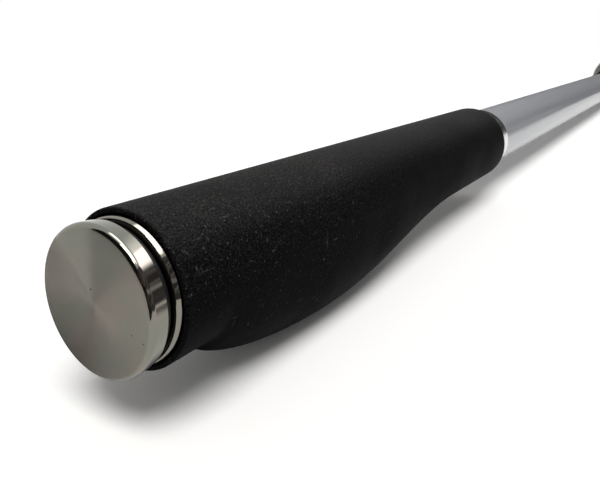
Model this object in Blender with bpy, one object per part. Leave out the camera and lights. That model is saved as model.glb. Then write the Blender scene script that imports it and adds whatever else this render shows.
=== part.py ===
"""Telescopic surf rod, closed for carrying.

The rod lies along +X with its butt cap at the origin, the centre of the cap's flat face.
The grip's swell hangs below it, towards -Z. The reel bed and the line guides stand on top,
towards +Z. Four sections are pushed one inside the other into the butt section, and each
draws out towards +X. Sizes are in metres, written here in millimetres.
"""

import math

import bmesh
import bpy
from mathutils import Vector

MM = 0.001

# Driving dimensions
CAP_RADIUS = 15.0 * MM
GRIP_LENGTH = 203.0 * MM
BLANK_BUTT_RADIUS = 13.5 * MM
BLANK_MOUTH_RADIUS = 12.9 * MM
SWELL_DEPTH = 10.2 * MM
MOUTH_X = 870.0 * MM
SEAT_X = 700.0 * MM
REST_X = 34.0 * MM
GAP = 0.3 * MM

# Facets: the longest side of a tube's facet, and the counts round small pieces
FACET_WIDTH = 2.4 * MM
FACET_STEP = 4
RING_SIDES = 20
WIRE_SIDES = 6
WIRE_STEPS = 4

# Butt cap, measured back from its face
CHAMFER = 0.85 * MM
RIM_BACK_X = 4.2 * MM
RIM_BACK_RADIUS = 14.6 * MM
NECK_RADIUS = 11.6 * MM
NECK_END_X = 6.1 * MM
PLUG_RADIUS = 10.9 * MM
PLUG_END_X = 29.7 * MM
PLUG_EDGE = 0.5 * MM
CUP_RADIUS = 8.5 * MM
CUP_FLOOR_X = 8.0 * MM

# Seal and pad of the cap
SEAL_X = 5.3 * MM
SEAL_RING_RADIUS = 12.8 * MM
SEAL_CORD_RADIUS = 0.85 * MM
SEAL_CORD_SIDES = 6
PAD_RADIUS = 10.6 * MM
PAD_END_X = REST_X - GAP
PAD_SPIGOT_RADIUS = CUP_RADIUS - GAP
PAD_SPIGOT_X = 20.0 * MM

# Threaded insert that the cap screws into
FLANGE_X = 6.4 * MM
FLANGE_WIDTH = 1.4 * MM
FLANGE_FRONT_RADIUS = 14.2 * MM
FLANGE_BACK_RADIUS = 14.6 * MM
INSERT_RADIUS = 12.0 * MM
INSERT_BORE_RADIUS = PLUG_RADIUS + GAP
INSERT_END_X = 31.0 * MM

# Grip with its swell
GRIP_X = 7.35 * MM
GRIP_REAR_RADIUS = 16.1 * MM
GRIP_FRONT_RADIUS = 16.05 * MM
GRIP_BORE_RADIUS = BLANK_BUTT_RADIUS + GAP
GRIP_RECESS_RADIUS = FLANGE_BACK_RADIUS + GAP
GRIP_RECESS_END_X = 8.2 * MM
GRIP_EDGE = 0.6 * MM
GRIP_FRONT_EDGE = 1.5 * MM
GRIP_SIDES = 36
SWELL_START_X = 21.0 * MM
SWELL_PEAK_X = 69.0 * MM
SWELL_END_X = 162.0 * MM
SWELL_ROUNDNESS = 1.86
SWELL_RISE_STEPS = 9
SWELL_FALL_STEPS = 9

# Butt section of the blank and the rings on it
BLANK_X = FLANGE_X + FLANGE_WIDTH + GAP
BLANK_WALL = 1.2 * MM
MOUTH_BORE_RADIUS = 11.15 * MM
CHECK_LENGTH = 11.0 * MM
CHECK_REAR_RADIUS = 15.2 * MM
CHECK_FRONT_RADIUS = 14.3 * MM
CHECK_BORE_RADIUS = BLANK_BUTT_RADIUS + GAP
MOUTH_RING_LENGTH = 18.0 * MM
MOUTH_RING_WALL = 0.9 * MM
MOUTH_RING_EDGE = 0.4 * MM

# Reel seat
SEAT_LENGTH = 122.0 * MM
SEAT_BORE_RADIUS = 14.5 * MM
SEAT_THREAD_RADIUS = 16.6 * MM
SEAT_THREAD_LENGTH = 44.0 * MM
SEAT_RADIUS = 17.0 * MM
ARBOR_INSET = 2.0 * MM
ARBOR_LENGTH = 12.0 * MM
ARBOR_RADIUS = SEAT_BORE_RADIUS - GAP
ARBOR_BORE_RADIUS = 13.4 * MM
TRIM_LENGTH = 10.0 * MM
TRIM_TALL_RADIUS = 16.4 * MM
TRIM_LOW_RADIUS = 14.2 * MM
KEY_START = 40.0 * MM
KEY_END = 110.0 * MM
KEY_WIDTH = 12.0 * MM
KEY_TOP = 18.6 * MM
BED_START = 45.0 * MM
BED_END = 87.0 * MM
BED_WIDTH = 13.0 * MM
BED_TOP = 19.2 * MM
BED_ROOT = 15.5 * MM

# Hoods that hold the reel's foot
HOOD_LENGTH = 24.0 * MM
HOOD_BORE_RADIUS = SEAT_RADIUS + 0.35 * MM
HOOD_RADIUS = 19.8 * MM
HOOD_CROWN = 8.2 * MM
HOOD_CROWN_POWER = 6
HOOD_CROWN_START = 0.72
HOOD_EDGE = 0.8 * MM
HOOD_SIDES = 40
SLIDING_HOOD_REAR = 18.4 * MM
FIXED_HOOD_REAR = 88.0 * MM
KEYWAY_WIDTH = 14.0 * MM
KEYWAY_TOP = BED_TOP + 0.4 * MM
POCKET_HALF_WIDTH = 8.5 * MM
POCKET_SHOULDER = 21.5 * MM
POCKET_TOP = 26.0 * MM
POCKET_END_TOP = 24.6 * MM
POCKET_WALL = 4.0 * MM
POCKET_FLOOR = 15.0 * MM
CUTTER_RUN = 2.0 * MM
LINER_THICKNESS = 0.8 * MM
LINER_INSET = 1.0 * MM
ARCH_STEPS = 8

# Nut that drives the sliding hood
NUT_REAR = 3.0 * MM
NUT_LENGTH = 15.0 * MM
NUT_RADIUS = 20.8 * MM
NUT_BORE_RADIUS = SEAT_THREAD_RADIUS + 0.35 * MM
NUT_COLLAR_LENGTH = 3.0 * MM
NUT_COLLAR_RADIUS = 19.0 * MM
NUT_EDGE = 0.8 * MM
FLUTES = 12
SIDES_PER_FLUTE = 4
FLUTE_DEPTH = 1.1 * MM

# Sections that telescope: radius at each end, wall at each end, and the front end's place
SECTIONS = (
    ("second_section", 10.9 * MM, 9.9 * MM, 1.0 * MM, 1.15 * MM, 896.0 * MM),
    ("third_section", 8.5 * MM, 7.5 * MM, 0.9 * MM, 0.95 * MM, 918.0 * MM),
    ("fourth_section", 6.3 * MM, 5.3 * MM, 0.8 * MM, 0.85 * MM, 938.0 * MM),
)
TIP_REAR_RADIUS = 4.2 * MM
TIP_RADIUS = 1.5 * MM
TIP_END_X = 1000.0 * MM
TIP_BORE_REAR_RADIUS = 3.4 * MM
TIP_BORE_FRONT_RADIUS = 1.6 * MM
TIP_BORE_SHARE = 0.6

# Line guides on the sections: section, sleeve length, ring radius, ring bore, wire radius
GUIDES = (
    ("second_guide", "second_section", 20.0 * MM, 15.0 * MM, 12.4 * MM, 1.1 * MM),
    ("third_guide", "third_section", 18.0 * MM, 10.0 * MM, 7.9 * MM, 0.9 * MM),
    ("fourth_guide", "fourth_section", 16.0 * MM, 8.0 * MM, 6.2 * MM, 0.8 * MM),
)
SLEEVE_WALL = 0.8 * MM
SLEEVE_BEAD = 0.4 * MM
SLEEVE_BEAD_LENGTH = 1.6 * MM
SLEEVE_END_GAP = 1.0 * MM
RING_HALF_WIDTH = 1.8 * MM
RING_SECTION_POINTS = 6
RING_CLEARANCE = 1.5 * MM
HOLDER_WIDTH = 3.0 * MM
HOLDER_WALL = 1.3 * MM
FOOT_ANGLE = math.radians(40)
SIDE_ANGLE = math.radians(80)

# Guides that float on the tip section, from the rear one to the front one
FLOAT_BORE_RADII = (3.6 * MM, 3.0 * MM, 2.35 * MM)
FLOAT_FIRST_X = 944.0 * MM
FLOAT_STEP = 13.0 * MM
FLOAT_SLEEVE_LENGTH = 8.0 * MM
SMALL_RING_RADIUS = 6.0 * MM
SMALL_RING_BORE = 4.4 * MM
SMALL_WIRE_RADIUS = 0.7 * MM

# Tip-top
TIP_TUBE_LENGTH = 12.0 * MM
TIP_TUBE_NOSE = 2.0 * MM
TIP_TUBE_BORE = 1.85 * MM
TIP_RING_LEAD = 5.0 * MM
TIP_RING_HEIGHT = 7.6 * MM


def clear_scene():
    for thing in list(bpy.data.objects):
        bpy.data.objects.remove(thing, do_unlink=True)


def make_material(name, colour, roughness, metallic):
    material = bpy.data.materials.new(name)
    material.use_nodes = True
    shader = material.node_tree.nodes["Principled BSDF"]
    shader.inputs["Base Color"].default_value = (*colour, 1.0)
    shader.inputs["Roughness"].default_value = roughness
    shader.inputs["Metallic"].default_value = metallic
    material.diffuse_color = (*colour, 1.0)
    return material


def make_frame(name, x):
    """An empty on the rod's axis, which carries the pieces that move together."""
    frame = bpy.data.objects.new(name, None)
    frame.location = (x, 0.0, 0.0)
    bpy.context.scene.collection.objects.link(frame)
    return frame


def make_piece(name, bm, material, frame):
    """Turns a bmesh into a named object that is carried by a frame."""
    bmesh.ops.remove_doubles(bm, verts=bm.verts, dist=1e-7)
    bmesh.ops.recalc_face_normals(bm, faces=bm.faces)
    mesh = bpy.data.meshes.new(name)
    bm.to_mesh(mesh)
    bm.free()
    mesh.shade_smooth()
    mesh.set_sharp_from_angle(angle=math.radians(30))
    mesh.materials.append(material)
    piece = bpy.data.objects.new(name, mesh)
    bpy.context.scene.collection.objects.link(piece)
    piece.parent = frame
    return piece


def make_tool(name, bm, frame):
    """A shape that only cuts another piece, or is joined to it."""
    tool = make_piece(name, bm, HELPER, frame)
    tool.hide_render = True
    tool.display_type = "WIRE"
    return tool


def boolean(piece, tool, operation):
    modifier = piece.modifiers.new(tool.name, "BOOLEAN")
    modifier.operation = operation
    modifier.object = tool


def sides_round(outline):
    """Number of facets round a turned piece, from its widest radius."""
    widest = max(radius for _, radius in outline)
    return FACET_STEP * math.ceil(math.tau * widest / FACET_WIDTH / FACET_STEP)


def turned(outline, sides=None, centre_z=0.0):
    """Spins an outline of (x, radius) points about a line along X at a height."""
    sides = sides or sides_round(outline)
    bm = bmesh.new()
    verts = [bm.verts.new((x, 0.0, centre_z + radius)) for x, radius in outline]
    for i in range(len(outline)):
        j = (i + 1) % len(outline)
        if outline[i][1] > 0.0 or outline[j][1] > 0.0:
            bm.edges.new((verts[i], verts[j]))
    bmesh.ops.spin(
        bm,
        geom=list(bm.verts) + list(bm.edges),
        cent=(0.0, 0.0, centre_z),
        axis=(1.0, 0.0, 0.0),
        angle=math.tau,
        steps=sides,
        use_merge=True,
    )
    return bm


def lofted(rings):
    """Skins a closed run of rings: each joins the next, and the last joins the first."""
    bm = bmesh.new()
    loops = [[bm.verts.new(point) for point in ring] for ring in rings]
    for ring, following in zip(loops, loops[1:] + loops[:1]):
        for i in range(len(ring)):
            j = (i + 1) % len(ring)
            bm.faces.new((ring[i], ring[j], following[j], following[i]))
    return bm


def ring_points(x, sides, radius_at):
    """Points round the rod's axis, where radius_at gives the radius at an angle from +Z."""
    points = []
    for i in range(sides):
        angle = math.tau * i / sides
        radius = radius_at(angle)
        points.append((x, radius * math.sin(angle), radius * math.cos(angle)))
    return points


def block(low, high):
    """A box between two corners."""
    bm = bmesh.new()
    bmesh.ops.create_cube(bm, size=1.0)
    low = Vector(low)
    high = Vector(high)
    bmesh.ops.scale(bm, verts=bm.verts, vec=high - low)
    bmesh.ops.translate(bm, verts=bm.verts, vec=(low + high) / 2.0)
    return bm


def tapered_prism(start, start_outline, end, end_outline):
    """A solid along X between two outlines of (y, z) points."""
    bm = bmesh.new()
    first = [bm.verts.new((start, y, z)) for y, z in start_outline]
    last = [bm.verts.new((end, y, z)) for y, z in end_outline]
    bm.faces.new(first)
    bm.faces.new(last)
    for i in range(len(first)):
        j = (i + 1) % len(first)
        bm.faces.new((first[i], first[j], last[j], last[i]))
    return bm


def arch(half_width, shoulder, top):
    """Points over an arch from one shoulder to the other."""
    points = []
    for i in range(ARCH_STEPS + 1):
        angle = math.pi * (i / ARCH_STEPS - 0.5)
        rise = (top - shoulder) * math.cos(angle)
        points.append((half_width * math.sin(angle), shoulder + rise))
    return points


def wire(points, radius):
    """A round wire with flat ends through a run of points."""
    bm = bmesh.new()
    path = [Vector(point) for point in points]
    loops = []
    for i, point in enumerate(path):
        along = (path[min(i + 1, len(path) - 1)] - path[max(i - 1, 0)]).normalized()
        side = along.cross(Vector((0.0, 0.0, 1.0)))
        if side.length < 0.2:
            side = along.cross(Vector((1.0, 0.0, 0.0)))
        side.normalize()
        lift = side.cross(along)
        loop = []
        for k in range(WIRE_SIDES):
            angle = math.tau * k / WIRE_SIDES
            offset = side * math.cos(angle) + lift * math.sin(angle)
            loop.append(bm.verts.new(point + radius * offset))
        loops.append(loop)
    for loop, following in zip(loops, loops[1:]):
        for k in range(WIRE_SIDES):
            n = (k + 1) % WIRE_SIDES
            bm.faces.new((loop[k], loop[n], following[n], following[k]))
    bm.faces.new(loops[0])
    bm.faces.new(loops[-1])
    return bm


def bent(start, middle, end):
    """Points along a smooth bend from start to end that leans towards middle."""
    start = Vector(start)
    middle = Vector(middle)
    end = Vector(end)
    points = []
    for i in range(WIRE_STEPS + 1):
        t = i / WIRE_STEPS
        points.append((1 - t) ** 2 * start + 2 * t * (1 - t) * middle + t**2 * end)
    return points


def tube_outline(start, end, outer_start, outer_end, inner_start, inner_end):
    return [
        (start, inner_start),
        (start, outer_start),
        (end, outer_end),
        (end, inner_end),
    ]


def blank_radius(x):
    """Outside radius of the butt section at a place along the rod."""
    share = (x - BLANK_X) / (MOUTH_X - BLANK_X)
    return BLANK_BUTT_RADIUS + share * (BLANK_MOUTH_RADIUS - BLANK_BUTT_RADIUS)


def build_cap(frame):
    """Turned metal cap: flat face, chamfer, tapered rim, neck and hollow plug."""
    outline = [
        (0.0, 0.0),
        (0.0, CAP_RADIUS - CHAMFER),
        (CHAMFER, CAP_RADIUS),
        (RIM_BACK_X, RIM_BACK_RADIUS),
        (RIM_BACK_X, NECK_RADIUS),
        (NECK_END_X, NECK_RADIUS),
        (NECK_END_X, PLUG_RADIUS),
        (PLUG_END_X - PLUG_EDGE, PLUG_RADIUS),
        (PLUG_END_X, PLUG_RADIUS - PLUG_EDGE),
        (PLUG_END_X, CUP_RADIUS),
        (CUP_FLOOR_X, CUP_RADIUS),
        (CUP_FLOOR_X, 0.0),
    ]
    make_piece("butt_cap", turned(outline), METAL, frame)


def build_seal(frame):
    """O-ring between the cap's rim and the insert's flange."""
    outline = []
    for i in range(SEAL_CORD_SIDES):
        angle = math.tau * i / SEAL_CORD_SIDES
        x = SEAL_X + SEAL_CORD_RADIUS * math.cos(angle)
        outline.append((x, SEAL_RING_RADIUS + SEAL_CORD_RADIUS * math.sin(angle)))
    make_piece("cap_o_ring", turned(outline), RUBBER, frame)


def build_pad(frame):
    """Foam pad in the cap's plug, which the nested sections rest against."""
    outline = [
        (PAD_SPIGOT_X, 0.0),
        (PAD_SPIGOT_X, PAD_SPIGOT_RADIUS),
        (PLUG_END_X + GAP, PAD_SPIGOT_RADIUS),
        (PLUG_END_X + GAP, PAD_RADIUS),
        (PAD_END_X, PAD_RADIUS),
        (PAD_END_X, 0.0),
    ]
    make_piece("rattle_pad", turned(outline), FOAM, frame)


def build_insert(frame):
    """Flanged sleeve glued into the blank, which takes the cap's thread."""
    flange_end = FLANGE_X + FLANGE_WIDTH
    outline = [
        (FLANGE_X, INSERT_BORE_RADIUS),
        (FLANGE_X, FLANGE_FRONT_RADIUS),
        (flange_end, FLANGE_BACK_RADIUS),
        (flange_end, INSERT_RADIUS),
        (INSERT_END_X, INSERT_RADIUS),
        (INSERT_END_X, INSERT_BORE_RADIUS),
    ]
    make_piece("threaded_insert", turned(outline), METAL, frame)


def swell(x):
    """Depth of the swell at a place along the grip: a full shoulder, then a long run-out."""
    if x <= SWELL_START_X or x >= SWELL_END_X:
        return 0.0
    if x < SWELL_PEAK_X:
        left = (SWELL_PEAK_X - x) / (SWELL_PEAK_X - SWELL_START_X)
        return SWELL_DEPTH * (1.0 - left**SWELL_ROUNDNESS) ** (1.0 / SWELL_ROUNDNESS)
    share = (x - SWELL_PEAK_X) / (SWELL_END_X - SWELL_PEAK_X)
    return SWELL_DEPTH * 0.5 * (1.0 + math.cos(math.pi * share))


def grip_places(grip_end):
    """Places of the grip's rings, closer together where its outline bends."""
    places = [GRIP_X + GRIP_EDGE, SWELL_START_X * 0.7]
    rise = SWELL_PEAK_X - SWELL_START_X
    places += [SWELL_START_X + rise * (i / SWELL_RISE_STEPS) ** 2 for i in range(SWELL_RISE_STEPS)]
    fall = SWELL_END_X - SWELL_PEAK_X
    places += [SWELL_PEAK_X + fall * i / SWELL_FALL_STEPS for i in range(SWELL_FALL_STEPS + 1)]
    places += [(SWELL_END_X + grip_end) / 2.0, grip_end - GRIP_FRONT_EDGE]
    return places


def build_grip(frame):
    """Rubber grip: a round tube with a swell that fills the palm on its underside."""
    grip_end = GRIP_X + GRIP_LENGTH

    def surface(x, shrink=0.0):
        share = (x - GRIP_X) / GRIP_LENGTH
        base = GRIP_REAR_RADIUS + share * (GRIP_FRONT_RADIUS - GRIP_REAR_RADIUS) - shrink
        depth = swell(x)
        return lambda angle: base + depth * max(0.0, -math.cos(angle)) ** 2

    def round_bore(radius):
        return lambda angle: radius

    rings = [ring_points(GRIP_X, GRIP_SIDES, surface(GRIP_X, GRIP_EDGE))]
    for x in grip_places(grip_end):
        rings.append(ring_points(x, GRIP_SIDES, surface(x)))
    rings.append(ring_points(grip_end, GRIP_SIDES, surface(grip_end, GRIP_FRONT_EDGE)))
    for x, radius in (
        (grip_end, GRIP_BORE_RADIUS),
        (GRIP_RECESS_END_X, GRIP_BORE_RADIUS),
        (GRIP_RECESS_END_X, GRIP_RECESS_RADIUS),
        (GRIP_X, GRIP_RECESS_RADIUS),
    ):
        rings.append(ring_points(x, GRIP_SIDES, round_bore(radius)))
    make_piece("butt_grip", lofted(rings), RUBBER, frame)


def build_butt_section(frame):
    """Butt section of the blank, thickened inside towards its mouth."""
    outline = tube_outline(
        BLANK_X,
        MOUTH_X,
        BLANK_BUTT_RADIUS,
        BLANK_MOUTH_RADIUS,
        BLANK_BUTT_RADIUS - BLANK_WALL,
        MOUTH_BORE_RADIUS,
    )
    make_piece("butt_section", turned(outline), BLANK, frame)


def build_blank_rings(frame):
    """Tapered ring in front of the grip, and the ring that binds the mouth."""
    start = GRIP_X + GRIP_LENGTH + GAP
    outline = tube_outline(
        start,
        start + CHECK_LENGTH,
        CHECK_REAR_RADIUS,
        CHECK_FRONT_RADIUS,
        CHECK_BORE_RADIUS,
        CHECK_BORE_RADIUS,
    )
    make_piece("grip_front_ring", turned(outline), METAL, frame)
    start = MOUTH_X - MOUTH_RING_LENGTH
    bore = blank_radius(start) + GAP
    outline = [
        (start, bore),
        (start, bore + MOUTH_RING_WALL - MOUTH_RING_EDGE),
        (start + MOUTH_RING_EDGE, bore + MOUTH_RING_WALL),
        (MOUTH_X - MOUTH_RING_EDGE, bore + MOUTH_RING_WALL),
        (MOUTH_X, bore + MOUTH_RING_WALL - MOUTH_RING_EDGE),
        (MOUTH_X, bore),
    ]
    make_piece("mouth_ring", turned(outline), METAL, frame)


def build_seat_trims(frame):
    """Cones that lead from the blank up to each end of the reel seat."""
    seat_end = SEAT_X + SEAT_LENGTH
    rear = tube_outline(
        SEAT_X - GAP - TRIM_LENGTH,
        SEAT_X - GAP,
        TRIM_LOW_RADIUS,
        TRIM_TALL_RADIUS,
        ARBOR_BORE_RADIUS,
        ARBOR_BORE_RADIUS,
    )
    make_piece("seat_rear_trim", turned(rear), METAL, frame)
    front = tube_outline(
        seat_end + GAP,
        seat_end + GAP + TRIM_LENGTH,
        TRIM_TALL_RADIUS,
        TRIM_LOW_RADIUS,
        ARBOR_BORE_RADIUS,
        ARBOR_BORE_RADIUS,
    )
    make_piece("seat_front_trim", turned(front), METAL, frame)


def build_arbors(frame):
    """Bushings that fill the space between the blank and the reel seat."""
    rear_start = SEAT_X + ARBOR_INSET
    front_start = SEAT_X + SEAT_LENGTH - ARBOR_INSET - ARBOR_LENGTH
    for name, start in (("seat_rear_arbor", rear_start), ("seat_front_arbor", front_start)):
        outline = tube_outline(
            start,
            start + ARBOR_LENGTH,
            ARBOR_RADIUS,
            ARBOR_RADIUS,
            ARBOR_BORE_RADIUS,
            ARBOR_BORE_RADIUS,
        )
        make_piece(name, turned(outline), FOAM, frame)


def build_seat_body(frame):
    """Reel seat: a threaded stretch, a plain stretch, a key along the top and the reel's bed."""
    thread_end = SEAT_X + SEAT_THREAD_LENGTH
    seat_end = SEAT_X + SEAT_LENGTH
    outline = [
        (SEAT_X, SEAT_BORE_RADIUS),
        (SEAT_X, SEAT_THREAD_RADIUS),
        (thread_end, SEAT_THREAD_RADIUS),
        (thread_end, SEAT_RADIUS),
        (seat_end, SEAT_RADIUS),
        (seat_end, SEAT_BORE_RADIUS),
    ]
    body = make_piece("reel_seat_body", turned(outline), PLASTIC, frame)
    key = block(
        (SEAT_X + KEY_START, -KEY_WIDTH / 2, BED_ROOT),
        (SEAT_X + KEY_END, KEY_WIDTH / 2, KEY_TOP),
    )
    boolean(body, make_tool("seat_key", key, frame), "UNION")
    bed = block(
        (SEAT_X + BED_START, -BED_WIDTH / 2, BED_ROOT),
        (SEAT_X + BED_END, BED_WIDTH / 2, BED_TOP),
    )
    boolean(body, make_tool("seat_bed", bed, frame), "UNION")


def build_hood(name, frame, rear, mouth_forward):
    """Hood: a band round the seat with a crown that arches over the reel's foot.

    The pocket under the crown opens at the mouth and ends at a wall, and a thin liner
    lies under the pocket's roof. A keyway lets the band pass over the seat's key.
    """
    forward = 1.0 if mouth_forward else -1.0
    wall_end = rear if mouth_forward else rear + HOOD_LENGTH
    mouth = wall_end + forward * HOOD_LENGTH

    def surface(share, shrink=0.0):
        rise = HOOD_CROWN * min(1.0, HOOD_CROWN_START + share)

        def radius_at(angle):
            return HOOD_RADIUS - shrink + rise * abs(math.cos(angle / 2.0)) ** HOOD_CROWN_POWER

        return radius_at

    def bore(angle):
        return HOOD_BORE_RADIUS

    edge_share = HOOD_EDGE / HOOD_LENGTH
    rings = [ring_points(wall_end, HOOD_SIDES, surface(0.0, HOOD_EDGE))]
    for share in (edge_share, 1.0 - HOOD_CROWN_START, 1.0 - edge_share):
        rings.append(ring_points(wall_end + forward * share * HOOD_LENGTH, HOOD_SIDES, surface(share)))
    rings.append(ring_points(mouth, HOOD_SIDES, surface(1.0, HOOD_EDGE)))
    rings.append(ring_points(mouth, HOOD_SIDES, bore))
    rings.append(ring_points(wall_end, HOOD_SIDES, bore))
    hood = make_piece(name, lofted(rings), METAL, frame)

    def roof_top(x):
        share = (x - pocket_end) / (mouth - pocket_end)
        return POCKET_END_TOP + share * (POCKET_TOP - POCKET_END_TOP)

    def pocket_outline(x):
        roof = arch(POCKET_HALF_WIDTH, POCKET_SHOULDER, roof_top(x))
        return roof + [(POCKET_HALF_WIDTH, POCKET_FLOOR), (-POCKET_HALF_WIDTH, POCKET_FLOOR)]

    def liner_outline(x):
        inside = GAP + LINER_THICKNESS
        upper = arch(POCKET_HALF_WIDTH - GAP, POCKET_SHOULDER, roof_top(x) - GAP)
        lower = arch(POCKET_HALF_WIDTH - inside, POCKET_SHOULDER, roof_top(x) - inside)
        return upper + lower[::-1]

    pocket_end = wall_end + forward * POCKET_WALL
    past = mouth + forward * CUTTER_RUN
    pocket = tapered_prism(pocket_end, pocket_outline(pocket_end), past, pocket_outline(past))
    boolean(hood, make_tool(name + "_pocket", pocket, frame), "DIFFERENCE")
    keyway = block(
        (rear - CUTTER_RUN, -KEYWAY_WIDTH / 2, POCKET_FLOOR),
        (rear + HOOD_LENGTH + CUTTER_RUN, KEYWAY_WIDTH / 2, KEYWAY_TOP),
    )
    boolean(hood, make_tool(name + "_keyway", keyway, frame), "DIFFERENCE")

    start = pocket_end + forward * GAP
    end = mouth - forward * LINER_INSET
    liner = tapered_prism(start, liner_outline(start), end, liner_outline(end))
    make_piece(name + "_liner", liner, RUBBER, frame)


def build_nut(frame):
    """Fluted nut with a plain collar that pushes the sliding hood."""
    start = -NUT_LENGTH
    end = 0.0

    def fluted(shrink=0.0):
        return lambda a: NUT_RADIUS - shrink - FLUTE_DEPTH * (0.5 + 0.5 * math.cos(FLUTES * a))

    def plain(radius):
        return lambda angle: radius

    sides = FLUTES * SIDES_PER_FLUTE
    rings = [
        ring_points(start, sides, fluted(NUT_EDGE)),
        ring_points(start + NUT_EDGE, sides, fluted()),
        ring_points(end - NUT_COLLAR_LENGTH, sides, fluted()),
        ring_points(end - NUT_COLLAR_LENGTH, sides, plain(NUT_COLLAR_RADIUS)),
        ring_points(end, sides, plain(NUT_COLLAR_RADIUS)),
        ring_points(end, sides, plain(NUT_BORE_RADIUS)),
        ring_points(start, sides, plain(NUT_BORE_RADIUS)),
    ]
    make_piece("seat_nut", lofted(rings), METAL, frame)


def build_section(name, frame, rear_radius, front_radius, rear_wall, front_wall, length):
    """One tapered tube of the blank, from its rear end at the frame."""
    outline = tube_outline(
        0.0,
        length,
        rear_radius,
        front_radius,
        rear_radius - rear_wall,
        front_radius - front_wall,
    )
    make_piece(name, turned(outline), BLANK, frame)


def build_tip_section(frame):
    """Tip section, hollow at its rear and solid towards the tip."""
    length = TIP_END_X - REST_X
    bore_end = length * TIP_BORE_SHARE
    outline = [
        (0.0, TIP_BORE_REAR_RADIUS),
        (0.0, TIP_REAR_RADIUS),
        (length, TIP_RADIUS),
        (length, 0.0),
        (bore_end, 0.0),
        (bore_end, TIP_BORE_FRONT_RADIUS),
    ]
    make_piece("tip_section", turned(outline), BLANK, frame)


def build_ring(name, frame, x, height, radius, bore):
    """Ceramic ring with a barrel section that the line runs over."""
    middle = (radius + bore) / 2.0
    half_height = (radius - bore) / 2.0
    outline = []
    for i in range(RING_SECTION_POINTS):
        angle = math.tau * i / RING_SECTION_POINTS
        along = x + RING_HALF_WIDTH * math.sin(angle)
        outline.append((along, middle + half_height * math.cos(angle)))
    make_piece(name, turned(outline, RING_SIDES, height), CERAMIC, frame)


def sleeve_outline(start, end, bore):
    """A thin tube with a bead round its front end."""
    outer = bore + SLEEVE_WALL
    return [
        (start, bore),
        (start, outer),
        (end - SLEEVE_BEAD_LENGTH, outer),
        (end - SLEEVE_BEAD_LENGTH / 2, outer + SLEEVE_BEAD),
        (end, outer),
        (end, bore),
    ]


def join_wire(piece, label, points, radius, frame):
    """Joins a wire to a guide's frame."""
    tool = make_tool(f"{piece.name}_{label}", wire(points, radius), frame)
    boolean(piece, tool, "UNION")


def join_holder(piece, ring_x, height, ring_radius, frame):
    """Joins the band that holds the ceramic ring to a guide's frame."""
    bore = ring_radius + GAP
    outline = tube_outline(
        ring_x - HOLDER_WIDTH / 2,
        ring_x + HOLDER_WIDTH / 2,
        bore + HOLDER_WALL,
        bore + HOLDER_WALL,
        bore,
        bore,
    )
    tool = make_tool(piece.name + "_holder", turned(outline, RING_SIDES, height), frame)
    boolean(piece, tool, "UNION")


def join_side_wires(piece, foot_x, sleeve_radius, ring_x, height, ring_radius, wire_radius, frame):
    """Joins two wires that rise from the rear of the sleeve to the sides of the holder."""
    holder_radius = ring_radius + GAP + HOLDER_WALL / 2
    for side, label in ((1.0, "left_wire"), (-1.0, "right_wire")):
        foot = (
            foot_x,
            side * sleeve_radius * math.sin(FOOT_ANGLE),
            sleeve_radius * math.cos(FOOT_ANGLE),
        )
        top = (
            ring_x,
            side * holder_radius * math.sin(SIDE_ANGLE),
            height - holder_radius * math.cos(SIDE_ANGLE),
        )
        bend = (ring_x - HOLDER_WIDTH, side * (holder_radius + wire_radius), height - holder_radius)
        join_wire(piece, label, bent(foot, bend, top), wire_radius, frame)


def build_guide(name, frame, sleeve, bore, ring_radius, ring_bore, wire_radius):
    """Line guide: a sleeve on the blank, a holder round the ceramic ring, and wires between."""
    start, end = sleeve
    outline = sleeve_outline(start, end, bore)
    piece = make_piece(name + "_frame", turned(outline, RING_SIDES), STEEL, frame)
    ring_x = (start + end) / 2
    outer = bore + SLEEVE_WALL
    height = outer + RING_CLEARANCE + ring_radius + GAP + HOLDER_WALL
    join_holder(piece, ring_x, height, ring_radius, frame)
    sleeve_middle = bore + SLEEVE_WALL / 2
    foot_x = start + 2 * wire_radius
    join_side_wires(piece, foot_x, sleeve_middle, ring_x, height, ring_radius, wire_radius, frame)
    holder_bottom = height - ring_radius - GAP - HOLDER_WALL / 2
    post = ((ring_x, 0.0, sleeve_middle), (ring_x, 0.0, holder_bottom))
    join_wire(piece, "post", post, wire_radius, frame)
    build_ring(name + "_ring", frame, ring_x, height, ring_radius, ring_bore)


def build_tip_top(frame):
    """Tip-top: a closed tube on the tip, with the last ring held in front of it."""
    tip = TIP_END_X - REST_X
    start = tip - TIP_TUBE_LENGTH
    nose = tip + TIP_TUBE_NOSE
    outer = TIP_TUBE_BORE + SLEEVE_WALL
    outline = [
        (start, TIP_TUBE_BORE),
        (start, outer),
        (nose - SLEEVE_BEAD, outer),
        (nose, outer - SLEEVE_BEAD),
        (nose, 0.0),
        (tip + GAP, 0.0),
        (tip + GAP, TIP_TUBE_BORE),
    ]
    piece = make_piece("tip_top_frame", turned(outline, RING_SIDES), STEEL, frame)
    ring_x = tip + TIP_RING_LEAD
    join_holder(piece, ring_x, TIP_RING_HEIGHT, SMALL_RING_RADIUS, frame)
    middle = TIP_TUBE_BORE + SLEEVE_WALL / 2
    foot_x = start + TIP_TUBE_LENGTH / 2
    join_side_wires(
        piece, foot_x, middle, ring_x, TIP_RING_HEIGHT, SMALL_RING_RADIUS, SMALL_WIRE_RADIUS, frame
    )
    holder_bottom = TIP_RING_HEIGHT - SMALL_RING_RADIUS - GAP - HOLDER_WALL / 2
    post = ((nose - TIP_TUBE_NOSE / 2, 0.0, middle / 2), (ring_x, 0.0, holder_bottom))
    join_wire(piece, "post", post, SMALL_WIRE_RADIUS, frame)
    build_ring("tip_top_ring", frame, ring_x, TIP_RING_HEIGHT, SMALL_RING_RADIUS, SMALL_RING_BORE)


clear_scene()

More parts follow.
